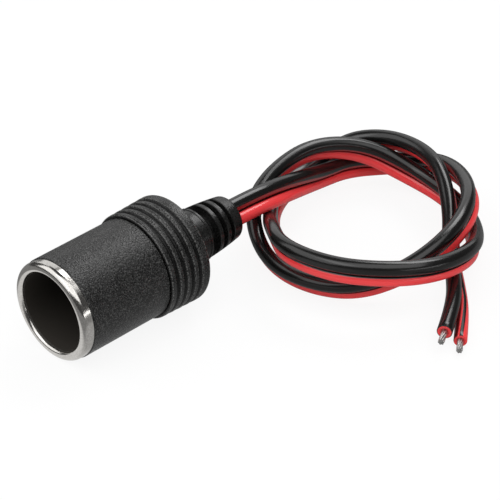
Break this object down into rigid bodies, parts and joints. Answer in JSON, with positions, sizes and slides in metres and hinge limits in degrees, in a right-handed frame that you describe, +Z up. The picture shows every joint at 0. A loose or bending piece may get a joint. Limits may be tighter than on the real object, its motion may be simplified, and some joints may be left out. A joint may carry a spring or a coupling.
{
  "type": "car 12v power socket",
  "caption": "In-line car power socket: rolled metal lip in a plain black barrel, ring-grip boot with slotted strain relief, and a loosely looped flat red and black cable with bare leads.",
  "frame": {"origin": "on the table under the middle of the socket, cable left out", "axes": "+Z up from the table, +X along the socket from its mouth to its cable exit"},
  "size_m": [0.1289, 0.0867, 0.0286],
  "materials": {
    "barrel_plastic": "fine spark-eroded grain",
    "boot_plastic": "satin moulded",
    "nickel": "satin nickel plate",
    "fibre": "dull fibre board",
    "contact_brass": "plain",
    "black_pvc": "glossy soft pvc",
    "red_pvc": "glossy soft pvc",
    "tinned_copper": "tinned strands"
  },
  "bodies": {
    "root": {"barrel": "barrel_plastic", "rear_boot": "boot_plastic", "socket_shell": "nickel", "front_insulator": "fibre", "rear_insulator": "fibre", "centre_contact": "contact_brass", "positive_tag": "contact_brass", "negative_tag": "contact_brass", "black_inner_lead": "black_pvc", "red_inner_lead": "red_pvc", "black_wire": "black_pvc", "red_wire": "red_pvc", "black_tip": "tinned_copper", "red_tip": "tinned_copper"}
  },
  "joints": []
}
